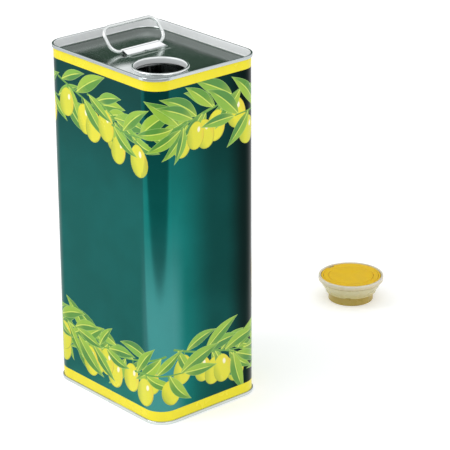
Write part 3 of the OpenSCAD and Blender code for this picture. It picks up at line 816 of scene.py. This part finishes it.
# The shell's lip is a hair narrower than the solid's, and its shelf's edge a hair wider.
SHELL_LIP_R, SHELL_SHELF_R = 26.99, 22.25
turned("closure_shell", [
    (PLUG_R - 0.5, 0, 0), (PLUG_R, 0.25, 0.3), (PLUG_R, 0.42, 0.1), (18.63, 0.65, 0.2), (PLUG_R, 1.1, 0.2),
    (PLUG_R, PLUG_H, 0.25), (SHOULDER_R, PLUG_H, 0.45), (SHOULDER_R, SHOULDER_Z, 0.5), (23.9, 13.2, 6),
    (UNDER_LIP_R, LIP_Z, 0.35), (SHELL_LIP_R, LIP_Z + 0.05, 0.4), (SHELL_LIP_R, CLOSURE_H, 0.75),
    (CUP_R, CLOSURE_H, 0.35), (CUP_R, SHELF_TOP, 0.3), (SHELL_SHELF_R, SHELF_TOP, 0.2), (SHELL_SHELF_R, SHELF_Z, 0),
    (24.0, SHELF_Z, 0.3), (19.65, SHOULDER_Z, 0.6), (PLUG_IN_R, 7.95, 0.6), (PLUG_IN_R, 0, 0),
], "closure", CREAM, ("closure_body",), drain_notch)


def cap_thread():
    """The ridge inside the cap's skirt that runs on the spout's thread. Its foot and its ends are inside the skirt."""
    steps, low, height = 90, 7.0, 0.85
    foot_r, end_r = CAP_BORE_R + 0.15, CAP_BORE_R + 0.05
    points, faces = [], []
    for i in range(steps + 1):
        a = 2 * math.pi * THREAD_TURNS * i / steps
        grow = min(1.0, 8 * i / steps, 8 * (steps - i) / steps)
        crest = end_r - height * grow
        for r, up in ((foot_r, -0.7), (crest, -0.35), (crest, 0.35), (foot_r, 0.7)):
            points.append(polar(a, r, low + up + THREAD_PITCH * a / 2 / math.pi))
    for i in range(steps):
        for k in range(4):
            a, b = 4 * i + k, 4 * i + (k + 1) % 4
            faces.append((b, a, a + 4, b + 4))
    faces += [(0, 1, 2, 3), tuple(4 * steps + k for k in (3, 2, 1, 0))]
    obj = link_mesh("cap_thread", points, faces)
    obj.data.set_sharp_from_angle(angle=math.radians(30))
    obj.data.materials.append(YELLOW)
    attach(obj, "cap")


cap_thread()


def cap_rim(a, r, z):
    """Opens the cap's rim at the ring's tab, and at the notch between the hinge straps."""
    opened_r, mid_r = GROOVE_OUT_R - 0.05, 23.5
    for centre, half in ((0.0, TAB_HALF + TAB_CLEAR), (math.pi, RIM_NOTCH_HALF)):
        w = smooth_box(around_axis(a, centre) * mid_r, half, 1.6)
        if w > 0 and r > 22.5:
            r = r + (min(r, opened_r) - r) * w
            z = z + (min(z, GROOVE_Z) - z) * w
    return r, z


turned("cap_shell", [
    (0, CAP_UNDER, 0), (CAP_BORE_R, CAP_UNDER, 0.2), (CAP_BORE_R, CAP_SKIRT_Z, 0.15),
    (CAP_SKIRT_R, CAP_SKIRT_Z, 0.2), (CAP_SKIRT_R, CAP_UNDER, 0.4),
    (CAP_R, CAP_UNDER, 0.5), (CAP_R, CAP_TOP, 0.45), (GROOVE_OUT_R, CAP_TOP, 0.3), (GROOVE_OUT_R, GROOVE_Z, 0.25),
    (GROOVE_IN_R, GROOVE_Z, 0.25), (GROOVE_IN_R, CAP_TOP, 0.35), (0, CAP_TOP, 0),
], "cap", YELLOW, ("screw_cap",), cap_rim, closed=False)


def ring_tab(a, r, z):
    """The ring's tab at +X and the two straps of its hinge at -X."""
    tab_end_r, tab_r, strap_r, strap_y, strap_half, strap_out = 24.4, 23, 22.7, 4.1, 1.5, 0.25
    if r > 21:
        r += (tab_end_r - RING_OUT_R) * smooth_box(around_axis(a, 0.0) * tab_r, TAB_HALF, 1.5)
    if r > 22 and z > 20.0:
        r += strap_out * smooth_box(abs(around_axis(a, math.pi) * strap_r) - strap_y, strap_half, 0.5)
    return r, z


turned("ring_shell", [
    (RING_IN_R, RING_Z, 0.3), (RING_OUT_R, RING_Z, 0.3), (RING_OUT_R, 19.95, 0), (RING_OUT_R, 20.05, 0),
    (RING_OUT_R, CAP_TOP, 0.25), (RING_IN_R, CAP_TOP, 0.35),
], "ring", YELLOW, ("pull_ring",), ring_tab)


def folding_wall():
    """The thin wall between the closure's shelf and the spout's foot, drawn in its rest shape only; on the real
    closure it turns inside out.
    """
    rows, around, low, high = 40, 120, WALL_FOOT_Z, SHELF_Z
    flare, flare_from, flare_share = 6.5, 0.42, 0.56
    inner, outer = [], []
    for i in range(rows + 1):
        z = low + (high - low) * i / rows
        t = min(1.0, max(0.0, ((z - low) / (high - low) - flare_from) / flare_share))
        r = WALL_R + flare * t * t * (3 - 2 * t)
        slope = flare * 6 * t * (1 - t) / (flare_share * (high - low))
        lean = math.hypot(1, slope)
        outer.append((r + WALL_HALF_T / lean, z - WALL_HALF_T * slope / lean))
        inner.append((r - WALL_HALF_T / lean, z + WALL_HALF_T * slope / lean))
    inner = [(r, min(max(z, low), high)) for r, z in inner]
    outer = [(r, min(max(z, low), high)) for r, z in outer]
    line = outer + inner[::-1]
    points, faces = [], []
    for r, z in line:
        for k in range(around):
            points.append(polar(2 * math.pi * k / around, r, z))
    for i in range(len(line)):
        j = (i + 1) % len(line)
        for k in range(around):
            m = (k + 1) % around
            faces.append((i * around + k, i * around + m, j * around + m, j * around + k))
    obj = link_mesh("folding_sleeve", points, faces)
    obj.data.set_sharp_from_angle(angle=math.radians(50))
    obj.data.materials.append(INNER)
    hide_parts("folding_wall")
    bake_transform(obj)


folding_wall()


# ---- Floor, world, lights and camera ----
FLOOR_LIFT = 0.25


def floor():
    """A white sheet. In mirror images it is darker toward the camera, to the right behind and to the left."""
    size = 6000
    obj = link_mesh("floor", [(-size, -size, 0), (size, -size, 0), (size, size, 0), (-size, size, 0)], [(0, 1, 2, 3)])
    mat, net, shader = finish("pale floor")
    here = net.place()
    x, y, _ = net.xyz(here)

    def along(ax, ay):
        return net.math("ADD", net.times(x, ax), net.times(y, ay))

    light = net.tree.nodes.new("ShaderNodeLightPath").outputs
    to_camera, to_right, to_rear = (0.756, -0.655), (0.756, 0.655), (-0.655, 0.756)
    near = net.step(along(*to_camera), 290, 360)
    right = net.times(net.step(along(*to_right), 215, 300), net.step(along(*to_rear), -90, -25))
    left = net.times(net.step(along(*to_right), -50, -110), net.step(along(*to_rear), -150, -100))
    dim = net.most(net.times(near, 0.62), net.times(right, 0.25), net.times(left, 0.4))
    mirrored = net.rest(net.times(dim, light["Is Glossy Ray"]))
    cloud = net.noise(here, 0.002, 2)
    paper = net.mix(cloud, (0.93, 0.93, 0.93, 1), (0.95, 0.95, 0.95, 1))
    net.put(shader.inputs["Base Color"], net.mix(mirrored, (0, 0, 0, 1), paper))
    shader.inputs["Roughness"].default_value = 0.9
    shader.inputs["Specular IOR Level"].default_value = 0.1
    seen = net.most(light["Is Camera Ray"], light["Is Glossy Ray"], light["Is Transmission Ray"])
    shader.inputs["Emission Color"].default_value = (1, 1, 1, 1)
    net.put(shader.inputs["Emission Strength"], net.times(seen, mirrored, FLOOR_LIFT))
    obj.data.materials.append(mat)


def world():
    """Pale studio, white to the camera, with a dark grey-green wall behind the tin and a white wall on two sides."""
    made = bpy.data.worlds.new("studio")
    bpy.context.scene.world = made
    made.use_nodes = True
    net = Net(made.node_tree)
    background = next(n for n in made.node_tree.nodes if n.type == "BACKGROUND")
    way = net.add("ShaderNodeTexCoord", out=0)

    def lobe(direction, full, gone):
        aim = tuple(Vector(direction).normalized())
        toward = net.add("ShaderNodeVectorMath", out=1, props={"operation": "DOT_PRODUCT"}, i0=way, i1=aim)
        return net.step(toward, math.cos(math.radians(gone)), math.cos(math.radians(full)))

    height = net.xyz(way)[2]
    sky = net.mix(net.step(height, -0.1, 0.8), (0.66, 0.67, 0.68, 1), (0.9, 0.91, 0.92, 1))
    white_walls, wall_behind = ((0.70, 0.61, 0.37), (-0.70, -0.61, 0.37)), (-0.70, 0.61, 0.37)
    for side in white_walls:
        sky = net.mix(lobe(side, 22, 38), sky, (1.0, 1.0, 1.0, 1))
    sky = net.mix(lobe(wall_behind, 17, 28), sky, (0.058, 0.1, 0.074, 1))
    light = net.tree.nodes.new("ShaderNodeLightPath").outputs
    net.put(background.inputs["Color"], net.mix(light["Is Camera Ray"], sky, (1, 1, 1, 1)))
    background.inputs["Strength"].default_value = 1.0


def lamp(name, place, target, size, power):
    data = bpy.data.lights.new(name, "AREA")
    data.shape = "RECTANGLE"
    data.size = data.size_y = size
    data.energy = power
    obj = bpy.data.objects.new(name, data)
    bpy.context.scene.collection.objects.link(obj)
    obj.location = place
    obj.rotation_mode = "QUATERNION"
    obj.rotation_quaternion = (Vector(target) - Vector(place)).to_track_quat("-Z", "Y")
    obj.visible_camera = False


def camera():
    data = bpy.data.cameras.new("camera")
    data.sensor_width, data.lens = 36.0, 180.884
    data.clip_start, data.clip_end = 0.05, 50
    obj = bpy.data.objects.new("camera", data)
    bpy.context.scene.collection.objects.link(obj)
    right, up, back = (0.6562, 0.7546, -0.0053), (-0.2758, 0.2464, 0.9291), (0.7024, -0.6082, 0.3698)
    place = (1.2198, -0.9868, 0.7532)
    obj.matrix_world = Matrix.Translation(place) @ Matrix((right, up, back)).transposed().to_4x4()
    bpy.context.scene.camera = obj


floor()
world()
lamp("key", (-0.5, -1.3, 1.5), (0, 0, 0.1), size=1.1, power=11.0)
lamp("fill", (1.4, -0.2, 1.0), (0, 0.1, 0.1), size=0.9, power=3.0)
camera()
bpy.context.scene.view_settings.view_transform = "Standard"
